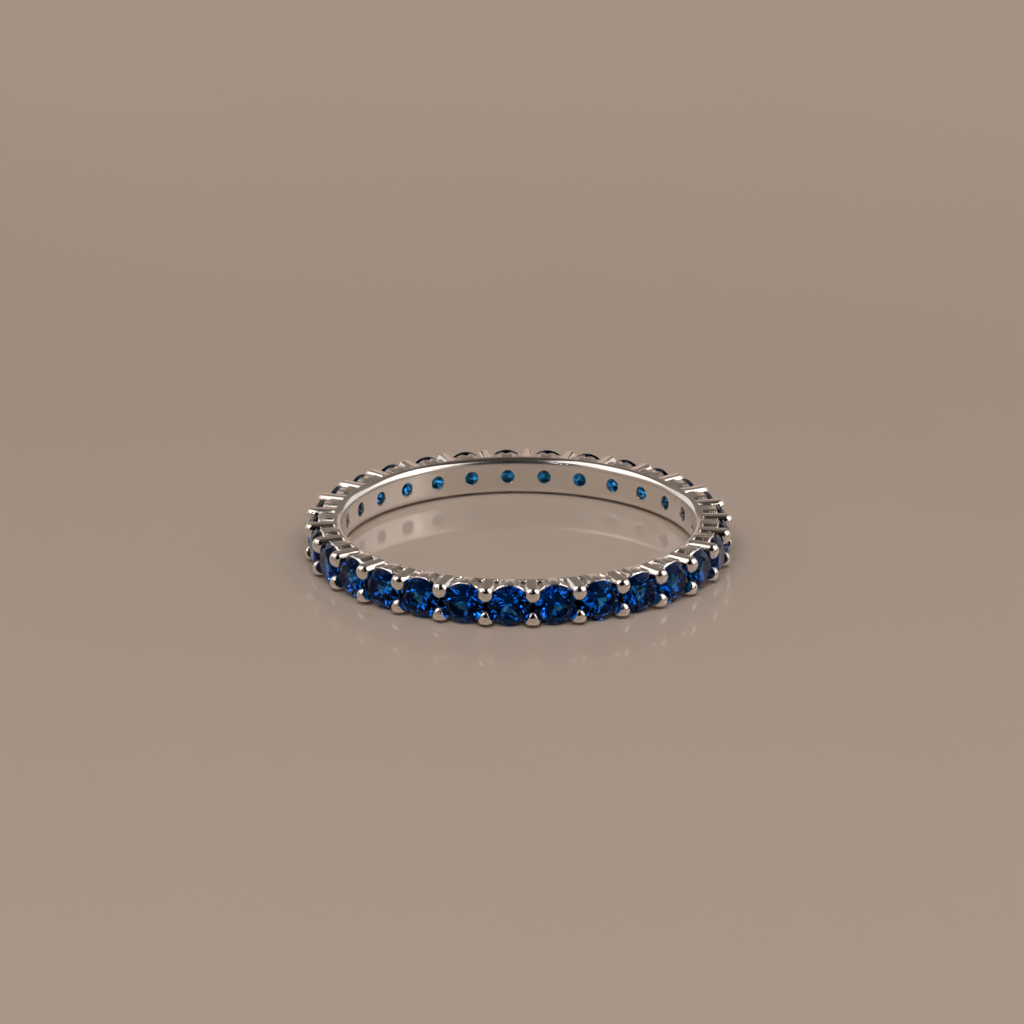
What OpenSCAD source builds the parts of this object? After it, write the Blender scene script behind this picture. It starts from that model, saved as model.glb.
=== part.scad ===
// Full eternity ring: one cast metal band that carries round brilliant stones all the way round,
// each held by four prongs that it shares with its two neighbours.
// The ring lies on its side. Z is the ring's axis, z = 0 is the surface it rests on, and the first
// stone faces -Y.

/* [Finger hole] */
// Inside diameter of the ring, mm
finger_d = 17.35; // [15.3:0.05:20.6]
// Rounding of the finger hole's two edges, mm
edge_round = 0.37; // [0.2:0.01:0.45]

/* [Stones] */
// Diameter of a stone across its girdle, mm
stone_d = 2; // [1.8:0.05:2.3]
// Least gap between two neighbouring girdles, mm
least_gap = 0.15; // [0.13:0.01:0.2]
// Height of a stone's point over the finger hole, mm
point_lift = 0.48; // [0.4:0.01:0.7]
// Width of the table as a share of the stone's diameter
table_share = 0.58; // [0.53:0.01:0.63]
// Slope of the main facets of the crown, degrees
crown_deg = 34.5; // [31:0.5:36]
// Slope of the main facets of the pavilion, degrees
pavilion_deg = 40.75; // [39.5:0.25:42]
// Thickness of the girdle at its thickest, mm
girdle_t = 0.05; // [0.045:0.005:0.08]
// Turn of each stone in its seat against the one before, degrees
stone_turn = 16; // [0:1:44]

/* [Metal] */
// How far a stone stands past the side of the band, mm
overhang = 0.05; // [0.03:0.01:0.09]
// Diameter of a prong, mm
prong_d = 0.8; // [0.72:0.01:0.84]
// Distance of a prong's axis from the band's side, mm
prong_side = 0.35; // [0.31:0.01:0.36]
// Height of a prong's top over the middle of the girdle, mm
prong_rise = 0.5; // [0.42:0.01:0.6]
// Rounding of a prong's top, mm
prong_round = 0.3; // [0.2:0.01:0.34]
// Depth of a cup's rim under the middle of the girdle, mm
rim_drop = 0.12; // [0.11:0.01:0.2]
// Thickness of the band behind the cups, mm
core_t = 0.8; // [0.7:0.01:0.9]
// Thickness of the band at its two rails, beside the cups, mm
rail_t = 1.1; // [1:0.01:1.15]
// Distance of the rails from the middle of the band, mm
rail_gap = 0.5; // [0.4:0.01:0.6]
// Width of the flat rim beside the finger hole, mm
rim_w = 0.42; // [0.4:0.01:0.5]
// Depth of the valleys between the cups and the prongs, in the band's side, mm
valley_t = 0.1; // [0.05:0.01:0.18]
// Diameter of the pilot hole behind each stone, mm
pilot_d = 0.7; // [0.5:0.05:0.8]

/* [Clearances] */
// Gap between a stone and its seat, mm
seat_gap = 0.02; // [0.01:0.005:0.03]
// How far a cup's wall stays inside the stone's outline, mm
cup_inset = 0.01; // [0.01:0.005:0.02]
// How far a prong's flat stays inside the band's side, mm
prong_inset = 0.005; // [0.005:0.005:0.015]
// Gap between a lower prong and the outline of the stones beside it, mm
outline_gap = 0.03; // [0.025:0.005:0.05]

/* [Hidden] */
$fn = 64;
finger_r = finger_d / 2;
stone_r = stone_d / 2;
half_w = stone_r - overhang;
mid_z = stone_r;
prong_r = prong_d / 2;
prong_z = half_w - prong_side;

// the cut of a stone, heights measured from the middle of its girdle, outward positive
half_girdle = girdle_t / 2;
table_r = table_share * stone_r;
table_h = half_girdle + (stone_r - table_r) * tan(crown_deg);
star_r = (table_r * cos(22.5) + stone_r) / 2;
star_h = half_girdle + (stone_r - star_r * cos(22.5)) * tan(crown_deg);
lower_r = 0.22 * stone_r;
lower_h = -half_girdle - (stone_r - lower_r * cos(22.5)) * tan(pavilion_deg);
point_h = -half_girdle - stone_r * tan(pavilion_deg);
// the girdle's edge dips where the facets above and below it meet the round
dip = stone_r * (1 - cos(11.25));
crown_dip = dip * (star_h - half_girdle) / (stone_r * cos(11.25) - star_r * cos(11.25));
pavilion_dip = dip * (-half_girdle - lower_h) / ((stone_r - lower_r) * cos(11.25));

girdle_r = finger_r + point_lift - point_h;
stone_count = floor(2 * PI * girdle_r / (stone_d + least_gap));
pitch = 360 / stone_count;

// the seat, a cone that clears the deepest edges of the pavilion by the seat gap
seat_slope = (-half_girdle - lower_h) / (stone_r - lower_r);
seat_shift = seat_gap * sqrt(1 + seat_slope * seat_slope);
crown_slope = (star_h - half_girdle) / (stone_r - star_r);
crown_shift = seat_gap * sqrt(1 + crown_slope * crown_slope);
cut_r = stone_r + seat_gap;
cone_end_h = -half_girdle - (stone_r - pilot_d / 2) * seat_slope - seat_shift;

cup_r = stone_r - cup_inset;
cup_top_r = girdle_r - rim_drop;
core_r = finger_r + core_t;
rail_r = finger_r + rail_t;
rim_r = finger_r + rim_w;
prong_top_r = girdle_r + prong_rise;

function two(n) = n < 10 ? str("0", n) : str(n);
function stone_name(i) = str("stone_", two(i));

// lays a child drawn along +Z out along the radius at an angle, counted from -Y
module spoke(a) {
    translate([0, 0, mid_z]) rotate([0, 0, a - 90]) rotate([0, 90, 0]) children();
}

// section of the finger hole's wall, its rounded edges and the flat sides
module band_section() {
    out = prong_top_r + stone_r;
    x0 = finger_r + edge_round;
    translate([x0, -half_w]) square([out - x0, 2 * half_w]);
    translate([finger_r, -half_w + edge_round])
        square([2 * edge_round, 2 * (half_w - edge_round)]);
    for (s = [-1, 1]) translate([x0, s * (half_w - edge_round)]) circle(r = edge_round);
}

// section of the band under the cups: rims, valleys, rails and the channel between the rails
module core_section() {
    in = finger_r - edge_round;
    h = half_w + cup_inset / 2;
    floor_h = half_w - valley_t;
    polygon([
        [in, -h], [rim_r, -h], [rim_r + valley_t, -floor_h], [rail_r, -floor_h],
        [rail_r, -rail_gap], [core_r, -rail_gap], [core_r, rail_gap], [rail_r, rail_gap],
        [rail_r, floor_h], [rim_r + valley_t, floor_h], [rim_r, h], [in, h]
    ]);
}

// section of one prong, a round post with a domed top
module prong_section() {
    from = core_r - prong_r;
    flat = prong_r - prong_round;
    translate([0, from]) square([prong_r, prong_top_r - prong_round - from]);
    translate([0, from]) square([flat, prong_top_r - from]);
    intersection() {
        translate([flat, prong_top_r - prong_round]) circle(r = prong_round);
        translate([0, from]) square([prong_r + flat, prong_top_r]);
    }
}

// a prong beside the middle of the band, s = 1 above and -1 below, flush with the band's side;
// the lower ones end along the outlines of the stones
module prong(s) {
    difference() {
        intersection() {
            translate([-s * prong_z, 0, 0]) rotate_extrude() prong_section();
            cube([2 * (half_w - prong_inset), 2 * prong_d, 3 * prong_top_r], center = true);
        }
        if (s < 0) for (k = [-1, 1]) rotate([k * pitch / 2, 0, 0])
            translate([0, 0, girdle_r - prong_inset])
                cylinder(r = stone_r + outline_gap, h = stone_r);
    }
}

// what one stone takes out of the metal: pilot hole, seat, girdle and crown
module seat_cut() {
    rotate_extrude() polygon([
        [0, finger_r - girdle_r - pilot_d],
        [pilot_d / 2, finger_r - girdle_r - pilot_d],
        [pilot_d / 2, cone_end_h],
        [cut_r, -half_girdle - seat_shift + seat_gap * seat_slope],
        [cut_r, half_girdle + crown_shift - seat_gap * crown_slope],
        [star_r, star_h + crown_shift],
        [table_r, table_h + crown_shift],
        [0, table_h + crown_shift]
    ]);
}

// one round brilliant, its point towards the finger
module brilliant() {
    ring = function(r, h, a0, n) [for (i = [0:n - 1])
        [r * cos(a0 + i * 360 / n), r * sin(a0 + i * 360 / n), h]];
    table = ring(table_r, table_h, 0, 8);
    star = ring(star_r, star_h, 22.5, 8);
    upper = [for (i = [0:31]) [stone_r * cos(i * 11.25), stone_r * sin(i * 11.25),
        half_girdle - (i % 2) * crown_dip]];
    under = [for (i = [0:31]) [stone_r * cos(i * 11.25), stone_r * sin(i * 11.25),
        -half_girdle + (i % 2) * pavilion_dip]];
    lower = ring(lower_r, lower_h, 22.5, 8);
    T = 0;
    S = 8;
    U = 16;
    D = 48;
    L = 80;
    P = 88;
    points = concat(table, star, upper, under, lower, [[0, 0, point_h]]);
    faces = concat(
        [[for (i = [7:-1:0]) T + i]],
        [for (i = [0:7]) [T + i, T + (i + 1) % 8, S + i]],
        [for (i = [0:7]) [T + i, S + i, U + 4 * i, S + (i + 7) % 8]],
        [for (i = [0:7]) [S + i, U + (4 * i + 2) % 32, U + (4 * i + 1) % 32, U + 4 * i]],
        [for (i = [0:7]) [S + i, U + (4 * i + 4) % 32, U + (4 * i + 3) % 32, U + (4 * i + 2) % 32]],
        [for (i = [0:31]) [U + i, U + (i + 1) % 32, D + (i + 1) % 32, D + i]],
        [for (i = [0:7]) [L + i, D + 4 * i, D + (4 * i + 1) % 32, D + (4 * i + 2) % 32]],
        [for (i = [0:7]) [L + i, D + (4 * i + 2) % 32, D + (4 * i + 3) % 32, D + (4 * i + 4) % 32]],
        [for (i = [0:7]) [P, L + (i + 7) % 8, D + 4 * i, L + i]]
    );
    polyhedron(points, faces, convexity = 2);
}

// the cast band: bore, side faces, cups, prongs, seats and pilot holes, one solid
module setting() {
    color([0.86, 0.85, 0.83]) difference() {
        intersection() {
            translate([0, 0, mid_z]) rotate_extrude($fn = 180) band_section();
            union() {
                translate([0, 0, mid_z]) rotate_extrude($fn = 180) core_section();
                for (i = [0:stone_count - 1]) {
                    spoke(i * pitch) translate([0, 0, finger_r - edge_round])
                        cylinder(r = cup_r, h = cup_top_r - finger_r + edge_round);
                    for (s = [-1, 1]) spoke((i + 0.5) * pitch) prong(s);
                }
            }
        }
        for (i = [0:stone_count - 1])
            spoke(i * pitch) translate([0, 0, girdle_r]) seat_cut();
    }
}

module stone(i) {
    color([0.04, 0.14, 0.42]) spoke((i - 1) * pitch) translate([0, 0, girdle_r])
        rotate([0, 0, (i - 1) * stone_turn]) brilliant();
}

setting();
for (i = [1:stone_count]) stone(i);
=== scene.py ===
"""A full eternity ring in polished white metal with blue round brilliants, on a glossy pale table."""

import logging
import math
from dataclasses import dataclass, field
from enum import Enum
from typing import Any, Callable, Optional, Sequence, Union

import bmesh
import bpy
from mathutils import Matrix, Vector


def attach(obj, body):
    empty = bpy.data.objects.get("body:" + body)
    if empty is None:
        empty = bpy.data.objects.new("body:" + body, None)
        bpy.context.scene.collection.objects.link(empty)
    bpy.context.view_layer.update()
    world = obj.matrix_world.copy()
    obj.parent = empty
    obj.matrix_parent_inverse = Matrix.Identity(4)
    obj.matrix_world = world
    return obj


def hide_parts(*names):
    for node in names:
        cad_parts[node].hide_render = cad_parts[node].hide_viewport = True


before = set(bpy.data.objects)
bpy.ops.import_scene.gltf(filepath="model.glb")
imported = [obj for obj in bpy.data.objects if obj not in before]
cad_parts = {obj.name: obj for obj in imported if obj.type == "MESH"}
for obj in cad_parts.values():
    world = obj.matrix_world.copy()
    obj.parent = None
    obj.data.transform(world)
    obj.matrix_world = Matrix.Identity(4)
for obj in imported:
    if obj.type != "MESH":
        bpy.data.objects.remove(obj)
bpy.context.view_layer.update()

LOG = logging.getLogger("eternity_ring")
Number = Union[float, "Socket"]
Point = tuple[float, float, float]
Colour = tuple[float, float, float]
MM = 0.001
PICTURE = 1024


@dataclass(frozen=True)
class RingSizes:
    """Sizes of the ring in millimetres: the frame's, with the prongs' and cups' ends worked further.

    Those are prong_round, low_prong_flush and cup_bevel. The star and table fields are the ends of
    the crown's facets, as radius and as height over the girdle's middle.
    """

    finger_r: float = 8.675
    edge_round: float = 0.37
    half_width: float = 0.95
    middle_z: float = 1.0
    core_r: float = 9.475
    rail_r: float = 9.775
    rail_gap: float = 0.5
    rim_r: float = 9.095
    valley: float = 0.10
    cup_r: float = 0.99
    cup_bevel: float = 0.12
    stone_r: float = 1.0
    girdle_r: float = 10.04166
    girdle_t: float = 0.05
    rim_drop: float = 0.12
    seat_gap: float = 0.02
    seat_slope: float = 0.8813
    girdle_shift: float = 0.0092
    crown_shift: float = 0.0264
    star_r: float = 0.768
    star_h: float = 0.2245
    table_r: float = 0.58
    table_h: float = 0.3137
    pilot_r: float = 0.35
    prong_r: float = 0.40
    prong_z: float = 0.60
    prong_round: float = 0.37
    prong_flush: float = 0.945
    low_prong_flush: float = 0.82
    low_prong_cut_r: float = 1.03
    prong_top_r: float = 10.54166
    stones: int = 29

    @property
    def pitch(self) -> float:
        """Angle from one stone to the next, in radians."""
        return 2 * math.pi / self.stones


class Part(Enum):
    """What an edit selects: corners, edges or faces."""

    CORNERS = "VERT"
    EDGES = "EDGE"
    FACES = "FACE"


class Bench:
    """The modelling steps that every piece shares, each one an operator on the selected object."""

    @staticmethod
    def take(*objects: bpy.types.Object) -> bpy.types.Object:
        """Selects only the given objects.

        Args:
            *objects: the objects to select; the first becomes the active one.

        Returns:
            The active object.
        """
        if bpy.context.object and bpy.context.object.mode != "OBJECT":
            bpy.ops.object.mode_set(mode="OBJECT")
        bpy.ops.object.select_all(action="DESELECT")
        for one in objects:
            one.select_set(True)
        bpy.context.view_layer.objects.active = objects[0]
        return objects[0]

    @staticmethod
    def pick(obj: bpy.types.Object, part: Part, test: Callable[[Vector], bool]) -> int:
        """Opens an object for editing and selects what passes a test of its centre.

        Args:
            obj: the object to edit.
            part: whether corners, edges or faces are tested.
            test: gets a centre in the object's own millimetres.

        Returns:
            How many elements are selected.
        """
        Bench.take(obj)
        bpy.ops.object.mode_set(mode="EDIT")
        bpy.ops.mesh.select_mode(type=part.value)
        bpy.ops.mesh.select_all(action="DESELECT")
        mesh = bmesh.from_edit_mesh(obj.data)
        items = {Part.CORNERS: mesh.verts, Part.EDGES: mesh.edges, Part.FACES: mesh.faces}[part]
        count = 0
        for item in items:
            if part is Part.CORNERS:
                centre = item.co
            elif part is Part.EDGES:
                centre = (item.verts[0].co + item.verts[1].co) / 2
            else:
                centre = item.calc_center_median()
            if test(centre):
                item.select_set(True)
                count += 1
        mesh.select_flush_mode()
        bmesh.update_edit_mesh(obj.data)
        return count

    @staticmethod
    def leave() -> None:
        """Ends an edit."""
        bpy.ops.object.mode_set(mode="OBJECT")

    @staticmethod
    def freeze(obj: bpy.types.Object) -> bpy.types.Object:
        """Applies an object's place, turn and size to its mesh.

        Args:
            obj: the object.

        Returns:
            The same object, at the origin.
        """
        Bench.take(obj)
        bpy.ops.object.transform_apply(location=True, rotation=True, scale=True)
        return obj

    @staticmethod
    def modify(obj: bpy.types.Object, kind: str, **settings: Any) -> None:
        """Adds a modifier and applies it.

        Args:
            obj: the object.
            kind: the modifier's type.
            **settings: the modifier's properties.
        """
        Bench.take(obj)
        mod = obj.modifiers.new(kind.title(), kind)
        for name, value in settings.items():
            setattr(mod, name, value)
        bpy.ops.object.modifier_apply(modifier=mod.name)

    @staticmethod
    def combine(obj: bpy.types.Object, other: bpy.types.Object, operation: str) -> None:
        """Joins, cuts or trims one body with another, which is used up.

        Args:
            obj: the body that is kept.
            other: the tool body.
            operation: UNION, DIFFERENCE or INTERSECT.
        """
        Bench.modify(obj, "BOOLEAN", object=other, operation=operation, solver="EXACT")
        bpy.data.meshes.remove(other.data)
        Bench.settle(obj)

    @staticmethod
    def settle(obj: bpy.types.Object) -> None:
        """Puts corners and faces in an order that only their places decide, the same in each run.

        Args:
            obj: the object.
        """
        mesh = obj.data
        places = [tuple(corner.co) for corner in mesh.vertices]
        order = sorted(range(len(places)), key=lambda i: places[i])
        rank = {old: new for new, old in enumerate(order)}
        faces = []
        for face in mesh.polygons:
            loop = [rank[i] for i in face.vertices]
            start = loop.index(min(loop))
            faces.append(loop[start:] + loop[:start])
        mesh.clear_geometry()
        mesh.from_pydata([places[i] for i in order], [], sorted(faces))

    @staticmethod
    def slice(obj: bpy.types.Object, point: Point, outward: Point, fill: bool) -> None:
        """Cuts an object with a plane and drops what lies on the outward side.

        Args:
            obj: the object.
            point: a point on the plane.
            outward: the plane's normal, towards what is dropped.
            fill: whether the cut is closed.
        """
        Bench.take(obj)
        bpy.ops.object.mode_set(mode="EDIT")
        bpy.ops.mesh.select_all(action="SELECT")
        bpy.ops.mesh.bisect(
            plane_co=point, plane_no=outward, use_fill=fill, clear_outer=True, threshold=1e-6
        )
        Bench.leave()

    @staticmethod
    def tidy(obj: bpy.types.Object, merge: float = 1e-5) -> None:
        """Merges double corners and turns every face outwards.

        Args:
            obj: the object.
            merge: how near two corners are to be one.
        """
        Bench.take(obj)
        bpy.ops.object.mode_set(mode="EDIT")
        bpy.ops.mesh.select_all(action="SELECT")
        bpy.ops.mesh.remove_doubles(threshold=merge)
        bpy.ops.mesh.normals_make_consistent(inside=False)
        Bench.leave()

    @staticmethod
    def copy(obj: bpy.types.Object, name: str) -> bpy.types.Object:
        """Copies an object with its own mesh.

        Args:
            obj: the object.
            name: the copy's name.

        Returns:
            The copy.
        """
        twin = obj.copy()
        twin.data = obj.data.copy()
        twin.name = twin.data.name = name
        bpy.context.scene.collection.objects.link(twin)
        return twin

    @staticmethod
    def turn(obj: bpy.types.Object, angle: float) -> bpy.types.Object:
        """Turns an object round the ring's axis, into its mesh.

        Args:
            obj: the object.
            angle: the turn, anticlockwise from above, in radians.

        Returns:
            The same object.
        """
        obj.rotation_euler = (0, 0, angle)
        return Bench.freeze(obj)


@dataclass
class Setting:
    """The cast metal: band, cups, prongs, seats and pilot holes, one body.

    Half of the metal round one stone is modelled in millimetres, with the ring's axis as Z and the
    stone towards +X. It is softened as casting and polishing leave it, mirrored to a whole cell and
    copied round the ring. The overrun is an angle by which the arcs pass the half cell, bite is how
    far two bodies that are joined reach into each other, and the cone bevels a cup's rim.
    """

    sizes: RingSizes
    margin: float = 0.16
    voxel: float = 0.0125
    soften_steps: int = 8
    triangles: int = 190_000
    sides: int = 128
    post_sides: int = 96
    cone_sides: int = 90
    round_steps: int = 14
    spin_steps: int = 60
    overrun: float = 0.12
    bite: float = 0.1
    cup_root: float = 0.3
    cup_proud: float = 0.0005
    cone_tall: float = 2.4
    trim_depth: float = 1.5
    trim_middle: float = 0.65
    sharp_degrees: float = 50.0

    def arc(
        self, inner: float, outer: float, low: float, high: float, edge_round: float = 0.0,
    ) -> bpy.types.Object:
        """Makes a short arc of a plain ring from its section.

        Args:
            inner: the section's inner radius.
            outer: the section's outer radius.
            low: its lowest height over the middle of the band.
            high: its highest.
            edge_round: the rounding of its two inner edges.

        Returns:
            The closed arc.
        """
        s = self.sizes
        bpy.ops.mesh.primitive_plane_add(
            size=1, location=((inner + outer) / 2, 0, (low + high) / 2),
            rotation=(math.pi / 2, 0, 0),
        )
        band = bpy.context.object
        band.name = "band_arc"
        band.scale = (outer - inner, high - low, 1)
        Bench.freeze(band)
        if edge_round:
            Bench.pick(band, Part.CORNERS, lambda c: c.x < (inner + outer) / 2)
            bpy.ops.mesh.bevel(offset=edge_round, segments=self.round_steps, affect="VERTICES")
            Bench.leave()
        start, end = -self.overrun, s.pitch + self.overrun
        Bench.turn(band, start)
        Bench.take(band)
        bpy.ops.object.mode_set(mode="EDIT")
        bpy.ops.mesh.select_all(action="SELECT")
        bpy.ops.mesh.spin(
            steps=self.spin_steps, angle=-(end - start), center=(0, 0, 0), axis=(0, 0, 1)
        )
        Bench.leave()
        Bench.tidy(band)
        return band

    def band(self) -> bpy.types.Object:
        """Makes the band under the cups: rims, valleys, rails and the channel between the rails.

        Returns:
            The band's short arc.
        """
        s = self.sizes
        floor = s.half_width - s.valley
        band = self.arc(s.finger_r, s.rim_r, -s.half_width, s.half_width, s.edge_round)
        middle = self.arc(
            s.finger_r + 2 * self.bite, s.core_r, -floor + self.bite, floor - self.bite
        )
        Bench.combine(band, middle, "UNION")
        for low, high in ((s.rail_gap, floor), (-floor, -s.rail_gap)):
            Bench.combine(band, self.arc(s.rim_r - self.bite, s.rail_r, low, high), "UNION")
        return band

    def cup(self) -> bpy.types.Object:
        """Makes the sleeve of metal under one stone, its sides flush with the band.

        Returns:
            The sleeve, towards +X.
        """
        s = self.sizes
        low, high = s.finger_r + self.cup_root, s.girdle_r - s.rim_drop
        bpy.ops.mesh.primitive_cylinder_add(
            vertices=self.sides, radius=s.cup_r, depth=high - low,
            location=((low + high) / 2, 0, 0), rotation=(0, math.pi / 2, 0),
        )
        cup = Bench.freeze(bpy.context.object)
        cup.name = "cup"
        for side in (1, -1):
            Bench.slice(cup, (0, 0, side * (s.half_width + self.cup_proud)), (0, 0, side), True)
        bpy.ops.mesh.primitive_cone_add(
            vertices=self.cone_sides, radius1=self.cone_tall, depth=self.cone_tall,
            location=(high + s.cup_r - s.cup_bevel - self.cone_tall / 2, 0, 0),
            rotation=(0, math.pi / 2, 0),
        )
        Bench.combine(cup, Bench.freeze(bpy.context.object), "INTERSECT")
        return cup

    def prong(self, side: int) -> bpy.types.Object:
        """Makes one prong, a round post whose end is worked into a dome.

        Its outer side is flush with the band's. The lower one ends along the stones' outlines.

        Args:
            side: 1 for the upper prong, -1 for the lower.

        Returns:
            The prong, towards +X.
        """
        s = self.sizes
        low, high = s.core_r - s.prong_r, s.prong_top_r
        bpy.ops.mesh.primitive_cylinder_add(
            vertices=self.post_sides, radius=s.prong_r, depth=high - low,
            location=((low + high) / 2, 0, side * s.prong_z), rotation=(0, math.pi / 2, 0),
        )
        post = Bench.freeze(bpy.context.object)
        post.name = "prong"
        Bench.pick(post, Part.FACES, lambda c: c.x > high - 1e-4)
        bpy.ops.mesh.select_mode(type="EDGE")
        bpy.ops.mesh.bevel(offset=s.prong_round, segments=self.round_steps, affect="EDGES")
        Bench.leave()
        flush = s.prong_flush if side > 0 else s.low_prong_flush
        Bench.slice(post, (0, 0, side * flush), (0, 0, side), True)
        for turn in (-s.pitch / 2, s.pitch / 2) if side < 0 else ():
            bpy.ops.mesh.primitive_cylinder_add(
                vertices=self.sides, radius=s.low_prong_cut_r, depth=self.trim_depth,
                location=(s.girdle_r + self.trim_middle, 0, 0), rotation=(0, math.pi / 2, 0),
            )
            Bench.combine(post, Bench.turn(Bench.freeze(bpy.context.object), turn), "DIFFERENCE")
        return post

    def seat_tool(self) -> bpy.types.Object:
        """Makes the body that one stone takes out of the metal: pilot hole, seat, girdle, crown.

        Returns:
            The tool, towards +X.
        """
        s = self.sizes
        shift = s.seat_gap * math.hypot(1, s.seat_slope)
        half = s.girdle_t / 2
        cut = s.stone_r + s.seat_gap
        rings = (
            (s.girdle_r - half - (s.stone_r - s.pilot_r) * s.seat_slope - shift, s.pilot_r),
            (s.girdle_r - half - shift + s.seat_gap * s.seat_slope, cut),
            (s.girdle_r + half + s.girdle_shift, cut),
            (s.girdle_r + s.star_h + s.crown_shift, s.star_r),
            (s.girdle_r + s.table_h + s.crown_shift, s.table_r),
        )
        start = s.finger_r - 0.5
        bpy.ops.mesh.primitive_circle_add(
            vertices=self.sides, radius=s.pilot_r, fill_type="NGON",
            location=(start, 0, 0), rotation=(0, math.pi / 2, 0),
        )
        tool = Bench.freeze(bpy.context.object)
        tool.name = "seat_tool"
        Bench.pick(tool, Part.FACES, lambda c: True)
        at, radius = start, s.pilot_r
        for height, wide in rings:
            bpy.ops.mesh.extrude_region_move(TRANSFORM_OT_translate={"value": (height - at, 0, 0)})
            bpy.ops.transform.resize(
                value=(1, wide / radius, wide / radius), center_override=(height, 0, 0)
            )
            at, radius = height, wide
        Bench.leave()
        Bench.tidy(tool)
        return tool

    def half_cell(self) -> bpy.types.Object:
        """Makes the metal from the middle of one stone to the middle of the next prongs.

        Returns:
            The half cell, softened, with an even fine mesh.
        """
        s = self.sizes
        body = self.band()
        for angle in (0.0, s.pitch):
            Bench.combine(body, Bench.turn(self.cup(), angle), "UNION")
        for side in (1, -1):
            Bench.combine(body, Bench.turn(self.prong(side), s.pitch / 2), "UNION")
        for angle in (0.0, s.pitch):
            Bench.combine(body, Bench.turn(self.seat_tool(), angle), "DIFFERENCE")
        Bench.slice(body, (0, -self.margin, 0), (0, -1, 0), True)
        far = Matrix.Rotation(s.pitch / 2, 3, "Z") @ Vector((0, 1, 0))
        Bench.slice(body, tuple(far * self.margin), tuple(far), True)
        Bench.tidy(body, 1e-4)
        Bench.modify(body, "REMESH", mode="VOXEL", voxel_size=self.voxel, use_smooth_shade=True)
        Bench.modify(body, "SMOOTH", factor=0.5, iterations=self.soften_steps)
        Bench.slice(body, (0, 0, 0), (0, -1, 0), False)
        Bench.slice(body, (0, 0, 0), tuple(far), False)
        return body

    def build(self) -> bpy.types.Object:
        """Builds the whole metal.

        Returns:
            The setting in metres, in its place.
        """
        s = self.sizes
        cell = self.half_cell()
        LOG.info("half a cell: %d corners", len(cell.data.vertices))
        cell.data.calc_loop_triangles()
        wanted = self.triangles / (2 * s.stones)
        Bench.modify(cell, "DECIMATE", ratio=min(1.0, wanted / len(cell.data.loop_triangles)))
        Bench.modify(
            cell, "MIRROR", use_axis=(False, True, False), use_mirror_merge=True,
            merge_threshold=1e-4,
        )
        cells = [cell] + [Bench.copy(cell, f"cell_{i}") for i in range(1, s.stones)]
        for i, one in enumerate(cells):
            one.rotation_euler = (0, 0, i * s.pitch - math.pi / 2)
        Bench.take(*cells)
        bpy.ops.object.transform_apply(location=True, rotation=True, scale=True)
        bpy.ops.object.join()
        metal = bpy.context.object
        Bench.tidy(metal, 2e-4)
        metal.scale = (MM,) * 3
        metal.location = (0, 0, s.middle_z * MM)
        Bench.freeze(metal)
        metal.name = metal.data.name = "ring_setting"
        Bench.take(metal)
        bpy.ops.object.shade_smooth_by_angle(angle=math.radians(self.sharp_degrees))
        Bench.modify(metal, "WEIGHTED_NORMAL", mode="FACE_AREA", weight=50, keep_sharp=True)
        return metal


class Socket:
    """An output of a node, with arithmetic: an expression on it adds Math nodes."""

    def __init__(self, maker: "NodeMaker", raw: bpy.types.NodeSocket) -> None:
        """Keeps the socket and the maker that adds nodes beside it."""
        self.maker, self.raw = maker, raw

    def _math(self, operation: str, *values: Number) -> "Socket":
        """Adds one Math node.

        Args:
            operation: the node's operation.
            *values: its inputs in order.

        Returns:
            The node's output.
        """
        return self.maker.add("ShaderNodeMath", {"operation": operation}, dict(enumerate(values)))

    def __add__(self, other: Number) -> "Socket":
        """Self plus other."""
        return self._math("ADD", self, other)

    __radd__ = __add__

    def __mul__(self, other: Number) -> "Socket":
        """Self times other."""
        return self._math("MULTIPLY", self, other)

    __rmul__ = __mul__

    def __sub__(self, other: Number) -> "Socket":
        """Self minus other."""
        return self._math("SUBTRACT", self, other)

    def __rsub__(self, other: Number) -> "Socket":
        """Other minus self."""
        return self._math("SUBTRACT", other, self)

    def __truediv__(self, other: Number) -> "Socket":
        """Self over other."""
        return self._math("DIVIDE", self, other)

    def __abs__(self) -> "Socket":
        """Self without its sign."""
        return self._math("ABSOLUTE", self)

    def fraction(self) -> "Socket":
        """Self less its whole part."""
        return self._math("FRACT", self)

    def between(self, low: float, high: float, soft: float) -> "Socket":
        """A mask that is 1 between two values and fades outside them.

        Args:
            low: where the mask reaches 1.
            high: where it stops being 1.
            soft: how far it takes to fade.

        Returns:
            The mask.
        """
        rise = self.maker.span(self, low - soft, low)
        return rise * self.maker.span(self, high + soft, high)


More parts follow.
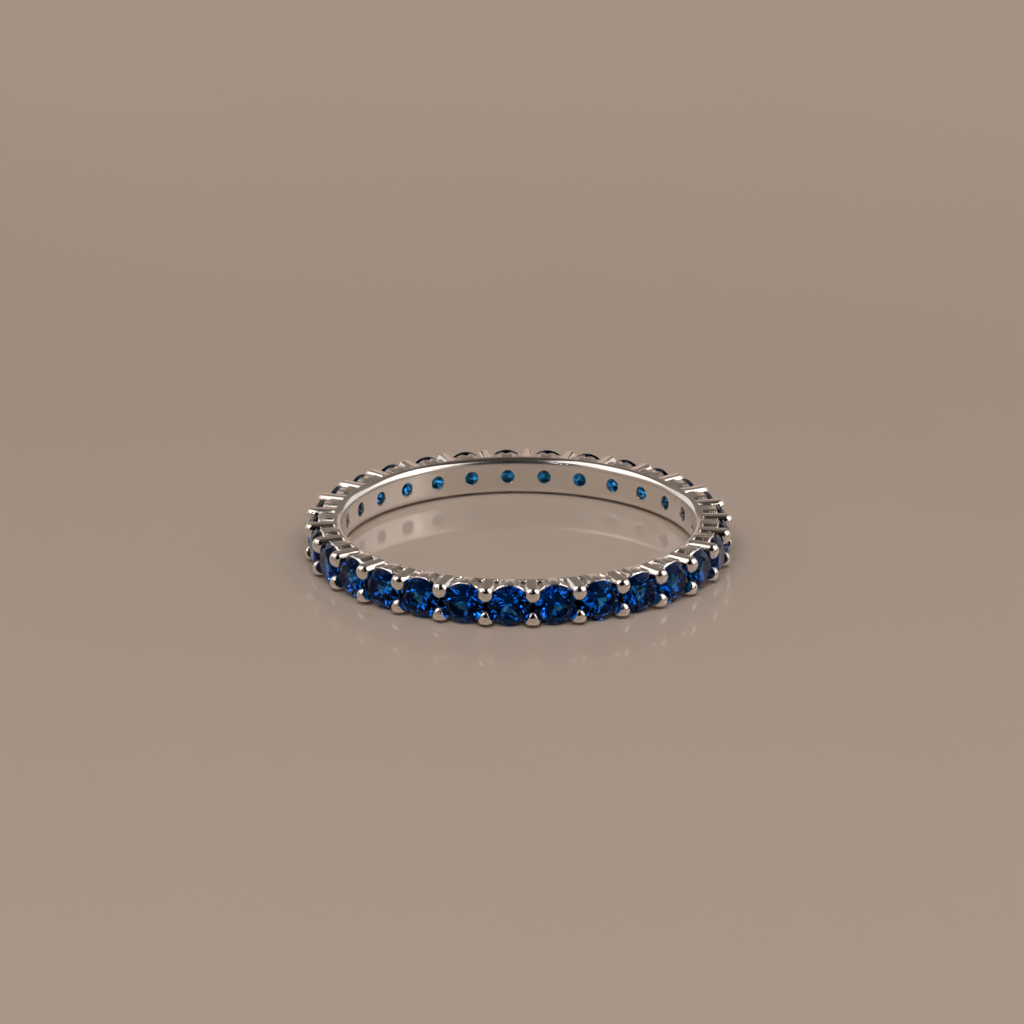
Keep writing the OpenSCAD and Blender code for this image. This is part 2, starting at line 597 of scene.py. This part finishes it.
class NodeMaker:
    """Writes one material, or a world, as a node tree."""

    def __init__(self, name: str, owner: Any = None) -> None:
        """Empties the tree of a world, or of a new material of this name."""
        self.material = owner or bpy.data.materials.new(name)
        self.material.use_nodes = True
        self.tree = self.material.node_tree
        self.tree.nodes.clear()
        self.output = self.tree.nodes.new(f"ShaderNodeOutput{'World' if owner else 'Material'}")

    def add(
        self, kind: str, settings: Optional[dict] = None, inputs: Optional[dict] = None,
        out: Union[int, str] = 0,
    ) -> Socket:
        """Adds a node.

        Args:
            kind: the node's type.
            settings: its properties, set first.
            inputs: values or sockets for its inputs, by name or number.
            out: which output is returned.

        Returns:
            The output.
        """
        node = self.tree.nodes.new(kind)
        for name, value in (settings or {}).items():
            setattr(node, name, value)
        for name, value in (inputs or {}).items():
            target = node.inputs[name]
            if isinstance(value, Socket):
                self.tree.links.new(value.raw, target)
            elif target.type == "RGBA":
                target.default_value = (*value, 1.0)
            else:
                target.default_value = value
        return Socket(self, node.outputs[out])

    def place(self) -> Socket:
        """The point on the piece, in metres."""
        return self.add("ShaderNodeTexCoord", out="Object")

    def axis(self, vector: Socket, name: str) -> Socket:
        """One coordinate of a vector."""
        return self.add("ShaderNodeSeparateXYZ", None, {0: vector}, name)

    def span(self, value: Socket, low: float, high: float) -> Socket:
        """Stretches a value so that low is 0 and high is 1, held there outside them."""
        return self.add(
            "ShaderNodeMapRange", {"clamp": True},
            {"Value": value, "From Min": low, "From Max": high, "To Min": 0.0, "To Max": 1.0},
        )

    def noise(self, where: Socket, scale: float, detail: float) -> Socket:
        """Soft noise, 0 to 1, with features about one over scale metres wide."""
        return self.add(
            "ShaderNodeTexNoise", None, {"Vector": where, "Scale": scale, "Detail": detail}
        )

    def mix(self, share: Number, first: Union[Colour, Socket], second: Union[Colour, Socket]) -> Socket:
        """Mixes two colours."""
        return self.add(
            "ShaderNodeMix", {"data_type": "RGBA"}, {0: share, 6: first, 7: second}, 2
        )

    def surface(self, shader: Socket, volume: Optional[Socket] = None) -> bpy.types.Material:
        """Ends the tree.

        Args:
            shader: the surface.
            volume: what fills the body, if anything.

        Returns:
            The material.
        """
        self.tree.links.new(shader.raw, self.output.inputs["Surface"])
        if volume is not None:
            self.tree.links.new(volume.raw, self.output.inputs["Volume"])
        return self.material


@dataclass(frozen=True)
class PolishedMetal:
    """Bright white metal, cast and polished, with tool marks beside the seats, a satin bore and painted
    shade in the slots between the prongs.
    """

    sizes: RingSizes
    colour: Colour = (0.87, 0.84, 0.81)
    dull: Colour = (0.74, 0.70, 0.665)
    # painted shade: the near-black colour given to the metal in the slots between the prongs
    slot_painted_shade: Colour = (0.02, 0.02, 0.022)
    roughness: float = 0.035
    satin_roughness: float = 0.20

    def material(self) -> bpy.types.Material:
        """Makes the material.

        Returns:
            The material, laid out round the ring's axis.
        """
        s = self.sizes
        m = NodeMaker("polished_white_metal")
        where = m.place()
        x, y, z = (m.axis(where, n) for n in "XYZ")
        radius = m.add("ShaderNodeVectorMath", {"operation": "LENGTH"}, {
            0: m.add("ShaderNodeCombineXYZ", None, {0: x, 1: y, 2: 0.0})}, "Value") * (1 / MM)
        angle = m.add("ShaderNodeMath", {"operation": "ARCTAN2"}, {0: y, 1: x})
        turns = (angle + math.pi / 2) / s.pitch + (s.stones + 0.5)
        along = (turns.fraction() - 0.5) * s.pitch * radius
        height = abs(z * (1 / MM) - s.middle_z)
        haze = m.noise(where, 900.0, 3.0)
        fine = m.noise(where, 5200.0, 2.0)
        # the tool marks lie on the sides of the cups, along is 0 at the middle of a stone
        marks = (
            radius.between(9.55, 9.98, 0.25)
            * abs(along).between(0.22, 0.62, 0.20)
            * height.between(0.62, 0.96, 0.10)
        )
        cuts = m.add("ShaderNodeTexVoronoi", {"feature": "SMOOTH_F1"}, {
            "Vector": where, "Scale": 15000.0, "Smoothness": 0.6})
        low = m.add("ShaderNodeBump", None, {
            "Strength": 0.12, "Distance": 0.00002, "Height": m.noise(where, 1500.0, 1.0)})
        skin = m.add("ShaderNodeBump", None, {
            "Strength": 0.05, "Distance": 0.00001, "Height": fine, "Normal": low})
        worked = m.add("ShaderNodeBump", None, {
            "Strength": 0.5, "Distance": 0.00003, "Height": cuts * marks, "Normal": skin})
        colour = m.mix(m.span(haze, 0.35, 0.75) * 0.35, self.colour, self.dull)
        # painted shade: the slots lie between the upper and lower prongs, where little light gets in,
        # and their metal is coloured near black
        slot_shade_mask = (
            radius.between(9.2, 9.98, 0.06)
            * (radius * (s.pitch / 2) - abs(along)).between(-1.0, 0.17, 0.05)
            * height.between(-1.0, 0.30, 0.10)
        )
        # painted shade: the metal in the slots is mixed towards near black
        colour = m.mix(slot_shade_mask, colour, self.slot_painted_shade)
        satin = m.span(radius, 8.86, 8.74)
        rough = self.roughness + m.span(haze, 0.4, 0.8) * 0.05 + marks * 0.08
        rough = rough + satin * self.satin_roughness
        return m.surface(m.add("ShaderNodeBsdfPrincipled", None, {
            "Base Color": colour, "Metallic": 1.0, "Roughness": rough, "Normal": worked}))


@dataclass(frozen=True)
class BlueStone:
    """Cut and polished deep blue stone, clear inside."""

    tint: Colour = (0.50, 0.88, 0.96)
    bluer_tint: Colour = (0.40, 0.80, 1.0)
    depth_colour: Colour = (0.05, 0.50, 0.715)
    density: float = 2900.0
    ior: float = 1.77
    gloss: Colour = (0.035, 0.08, 0.24)

    def material(self) -> bpy.types.Material:
        """Makes the material.

        Returns:
            The material.
        """
        m = NodeMaker("blue_stone")
        where = m.place()
        cloud = m.span(m.noise(where, 420.0, 1.0), 0.35, 0.65)
        colour = m.mix(cloud, self.tint, self.bluer_tint)
        surface = m.add("ShaderNodeBsdfPrincipled", None, {
            "Base Color": colour, "Roughness": 0.0, "IOR": self.ior, "Transmission Weight": 1.0,
            "Specular Tint": self.gloss})
        inside = m.add("ShaderNodeVolumeAbsorption", None, {
            "Color": self.depth_colour, "Density": self.density})
        return m.surface(surface, inside)


@dataclass(frozen=True)
class GlossyTable:
    """Pale taupe lacquered surface under the ring."""

    colour: Colour = (0.42, 0.335, 0.272)
    cloud_shade: float = 0.93

    def material(self) -> bpy.types.Material:
        """Makes the material.

        Returns:
            The material.
        """
        m = NodeMaker("glossy_table")
        cloud = m.noise(m.place(), 14.0, 2.0)
        shaded = tuple(self.cloud_shade * c for c in self.colour)
        colour = m.mix(cloud * 0.25, self.colour, shaded)
        return m.surface(m.add("ShaderNodeBsdfPrincipled", None, {
            "Base Color": colour, "Roughness": 0.07, "IOR": 1.31}))


@dataclass
class Stones:
    """The cut stones, which stay as the frame has them."""

    names: Sequence[str]
    finish: BlueStone = field(default_factory=BlueStone)

    def dress(self) -> None:
        """Gives each stone its material."""
        material = self.finish.material()
        for name in self.names:
            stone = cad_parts[name]
            stone.material_slots[0].material = material
            LOG.info("%s: %d faces", name, len(stone.data.polygons))


@dataclass
class Studio:
    """The camera, the table and the lights, in metres and degrees."""

    distance: float = 0.17326
    elevation: float = 19.78
    azimuth: float = -87.5
    lens: float = 123.53
    target: Point = (0.0, 0.0, 0.001)
    shift: tuple[float, float] = (-6.6 / PICTURE, 21.2 / PICTURE)
    card_distance: float = 0.30
    lamp_radius: float = 0.005
    low_front: Colour = (0.33, 0.262, 0.214)
    low_rear: Colour = (0.212, 0.174, 0.146)
    far_wall: Colour = (0.54, 0.41, 0.34)
    overhead: Colour = (0.055, 0.046, 0.039)
    over_camera: Colour = (0.006, 0.005, 0.005)

    def camera(self) -> bpy.types.Object:
        """Sets the camera at the photograph's angle.

        Returns:
            The camera.
        """
        up, round_ = math.radians(self.elevation), math.radians(self.azimuth)
        away = Vector((
            math.cos(up) * math.cos(round_), math.cos(up) * math.sin(round_), math.sin(up)))
        data = bpy.data.cameras.new("camera")
        data.lens, data.sensor_width = self.lens, 36.0
        data.shift_x, data.shift_y = self.shift
        data.clip_start, data.clip_end = 0.01, 10.0
        camera = bpy.data.objects.new("camera", data)
        camera.location = Vector(self.target) + away * self.distance
        camera.rotation_euler = (-away).to_track_quat("-Z", "Y").to_euler()
        bpy.context.scene.collection.objects.link(camera)
        bpy.context.scene.camera = camera
        return camera

    def table(self) -> bpy.types.Object:
        """Lays the surface that the ring rests on.

        Returns:
            The table.
        """
        bpy.ops.object.select_all(action="DESELECT")
        bpy.ops.mesh.primitive_plane_add(size=3.0, location=(0, 0, -0.00001))
        table = Bench.freeze(bpy.context.object)
        table.name = "table"
        table.data.materials.append(GlossyTable().material())
        return table

    def softbox(
        self, name: str, centre: Point, aim: Point, size: tuple[float, float], power: float,
        colour: Colour = (1, 1, 1),
    ) -> bpy.types.Object:
        """Hangs one rectangular light.

        Args:
            name: the light's name.
            centre: where it hangs.
            aim: the point that it faces.
            size: its width and height in metres.
            power: its power in watts.
            colour: its colour.

        Returns:
            The light.
        """
        data = bpy.data.lights.new(name, "AREA")
        data.shape, data.size, data.size_y = "RECTANGLE", size[0], size[1]
        data.energy, data.color = power, colour
        light = bpy.data.objects.new(name, data)
        light.location = centre
        light.rotation_euler = (Vector(aim) - Vector(centre)).to_track_quat("-Z", "Y").to_euler()
        bpy.context.scene.collection.objects.link(light)
        return light

    def lamp(self, name: str, centre: Point, radius: float, power: float) -> bpy.types.Object:
        """Sets one small round lamp, which leaves a bright dot in the metal.

        Args:
            name: the lamp's name.
            centre: where it is.
            radius: its radius in metres.
            power: its power in watts.

        Returns:
            The lamp.
        """
        data = bpy.data.lights.new(name, "POINT")
        data.shadow_soft_size, data.energy = radius, power
        light = bpy.data.objects.new(name, data)
        light.location = centre
        bpy.context.scene.collection.objects.link(light)
        return light

    def lights(self) -> None:
        """Sets the lights: softboxes and warm panels at the sides, cards, a front fill and lamps.

        The cards light only what the stones let through, and the fill only the matt surfaces.
        """
        for side, name in ((1, "left"), (-1, "right")):
            box = self.softbox(
                f"{name}_softbox", self.around(side * 134.0, 15.0, 0.36), (0, 0, 0), (0.24, 0.19), 0.09
            )
            panel = self.softbox(
                f"{name}_panel", self.around(side * 90.0, 46.0 + side * 6.0, 0.38), (0, 0, 0),
                (0.36, 0.36), 0.52, (1.0, 0.92, 0.87),
            )
            box.visible_transmission = panel.visible_transmission = panel.visible_diffuse = False
        for i, (azimuth, elevation, size, power) in enumerate((
            (48.0, 33.0, (0.12, 0.09), 0.20), (-44.0, 42.0, (0.11, 0.11), 0.20),
            (14.0, 62.0, (0.12, 0.09), 0.18), (-20.0, 12.0, (0.10, 0.05), 0.09),
            (26.0, 7.0, (0.12, 0.05), 0.12), (-84.0, 30.0, (0.10, 0.14), 0.16),
            (88.0, 26.0, (0.10, 0.14), 0.16), (-12.0, 84.0, (0.10, 0.06), 0.14),
            (0.0, 34.0, (0.04, 0.03), 0.08), (72.0, 22.0, (0.20, 0.12), 0.09),
            (-72.0, 22.0, (0.20, 0.12), 0.09), (148.0, 20.0, (0.12, 0.12), 0.02),
            (-148.0, 20.0, (0.12, 0.12), 0.02), (112.0, 20.0, (0.14, 0.14), 0.08),
            (-112.0, 20.0, (0.14, 0.14), 0.08),
        )):
            card = self.softbox(
                f"stone_card_{i + 1}", self.around(azimuth, elevation, self.card_distance),
                (0, 0, 0), size, power,
            )
            card.visible_glossy = card.visible_diffuse = False
        fill = self.softbox("front_fill", (0, -0.30, 0.46), (0, 0, 0), (0.6, 0.5), 3.00)
        fill.visible_glossy = fill.visible_transmission = False
        for name, azimuth, elevation, distance, power in (
            ("high_right_lamp", -95.0, 49.0, 0.30, 0.25), ("high_left_lamp", 88.0, 52.0, 0.30, 0.14),
            ("right_lamp", -75.0, 20.0, 0.30, 0.06), ("front_lamp", 25.0, 38.0, 0.32, 0.06),
        ):
            self.lamp(name, self.around(azimuth, elevation, distance), self.lamp_radius, power)
        self.surround()

    @staticmethod
    def around(azimuth: float, elevation: float, distance: float) -> Point:
        """A place round the ring.

        Args:
            azimuth: degrees to the left of the front, seen from the camera.
            elevation: degrees over the table.
            distance: metres from the ring.

        Returns:
            The place.
        """
        az, up = math.radians(azimuth), math.radians(elevation)
        flat = distance * math.cos(up)
        return (-flat * math.sin(az), -flat * math.cos(az), distance * math.sin(up))

    def surround(self) -> None:
        """Sets the room: pale in front, darker behind over a pale far wall, dark high up.

        What lies straight in front, over the camera, is almost black.
        """
        world = bpy.data.worlds.new("surround")
        bpy.context.scene.world = world
        m = NodeMaker("surround", world)
        towards = m.add("ShaderNodeTexCoord", out="Generated")
        x, y, z = (m.axis(towards, n) for n in "XYZ")
        front = (1.0 - m.span(y, -0.5, -0.2)) * (1.0 - m.span(abs(x), 0.48, 0.60))
        low = m.mix(m.span(y, 0.0, 0.8), self.low_front, self.low_rear)
        wall = (1.0 - m.span(z, 0.215, 0.295)) * m.span(y, 0.90, 0.96)
        room = m.mix(m.span(z, 0.58, 0.92), m.mix(wall, low, self.far_wall), self.overhead)
        m.surface(m.add("ShaderNodeBackground", None, {
            "Color": m.mix(front * m.span(z, 0.20, 0.30), room, self.over_camera),
            "Strength": 1.0}))


def main() -> None:
    """Builds the scene and reports each piece."""
    logging.basicConfig(level=logging.INFO, format="%(message)s")
    bpy.context.scene.view_settings.view_transform = "Standard"
    studio = Studio()
    studio.camera()
    sizes = RingSizes()
    metal = Setting(sizes).build()
    metal.data.materials.clear()
    metal.data.materials.append(PolishedMetal(sizes).material())
    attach(metal, "root")
    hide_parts("setting")
    LOG.info("ring_setting: %d faces", len(metal.data.polygons))
    Stones([n for n in sorted(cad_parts) if n.startswith("stone_")]).dress()
    studio.table()
    studio.lights()


if __name__ == "__main__":
    main()
